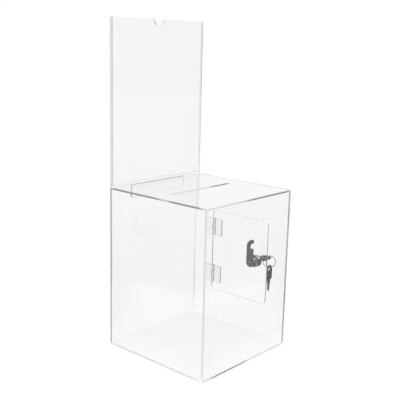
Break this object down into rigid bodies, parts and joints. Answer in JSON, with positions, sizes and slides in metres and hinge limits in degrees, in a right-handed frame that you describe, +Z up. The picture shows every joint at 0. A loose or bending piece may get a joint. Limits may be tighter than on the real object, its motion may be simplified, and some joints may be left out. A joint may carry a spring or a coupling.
{
  "type": "donation box",
  "caption": "Clear acrylic donation box with a slotted lid, a lift-out sign header along its back edge and a hinged side door closed by a cam lock with its keys.",
  "frame": {"origin": "middle of the underside of the base", "axes": "+Z up; -Y to the front; the sign header stands along the back edge at +Y; the door and lock are in the right wall at +X"},
  "size_m": [0.2629, 0.218, 0.5625],
  "materials": {
    "clear_acrylic": "clear polished",
    "plated_zinc": "bright plated",
    "steel": "satin",
    "brass": "stamped",
    "black_plastic": "moulded"
  },
  "bodies": {
    "box": {"bottom_panel": "clear_acrylic", "front_wall": "clear_acrylic", "back_wall": "clear_acrylic", "left_wall": "clear_acrylic", "right_wall": "clear_acrylic", "lid": "clear_acrylic", "upper_hinge_wall_leaf": "clear_acrylic", "upper_hinge_pin": "clear_acrylic", "lower_hinge_wall_leaf": "clear_acrylic", "lower_hinge_pin": "clear_acrylic"},
    "header": {"header_front_sheet": "clear_acrylic", "header_rear_sheet": "clear_acrylic", "header_spacer": "clear_acrylic"},
    "door": {"door_panel": "clear_acrylic", "upper_hinge_door_leaf": "clear_acrylic", "lower_hinge_door_leaf": "clear_acrylic", "lock_housing": "plated_zinc", "lock_nut": "plated_zinc"},
    "lock_core": {"lock_plug": "plated_zinc", "lock_wafers": "brass", "lock_stop_washer": "steel", "hook_cam": "steel", "cam_spring_washer": "steel", "cam_screw": "steel"},
    "key": {"key_blade": "plated_zinc", "key_head": "black_plastic"},
    "key_ring": {"key_ring": "steel"},
    "spare_key": {"spare_key_blade": "plated_zinc", "spare_key_head": "black_plastic"}
  },
  "joints": [
    {"name": "header_lift", "type": "slide", "parent": "box", "child": "header", "axis": [0, 0, 1], "range_m": [0, 0.03]},
    {"name": "door_hinge", "type": "hinge", "parent": "box", "child": "door", "pos_m": [0.1122, 0.06325, 0.13875], "axis": [0, 0, 1], "range_deg": [0, 175]},
    {"name": "lock_turn", "type": "hinge", "parent": "door", "child": "lock_core", "pos_m": [0.109, -0.041, 0.14125], "axis": [1, 0, 0], "range_deg": [0, 90]},
    {"name": "key_draw", "type": "slide", "parent": "lock_core", "child": "key", "axis": [1, 0, 0], "range_m": [0, 0.025]},
    {"name": "ring_swing", "type": "hinge", "parent": "key", "child": "key_ring", "pos_m": [0.139, -0.041, 0.14125], "axis": [1, 0, 0], "range_deg": [-90, 0]},
    {"name": "spare_key_swing", "type": "hinge", "parent": "key_ring", "child": "spare_key", "pos_m": [0.14299, -0.04575, 0.12115], "axis": [0.6428, -0.766, 0], "range_deg": [-25, 25]}
  ],
  "couplings": [
    {"joint": "ring_swing", "follows": "lock_turn", "ratio": -1}
  ]
}
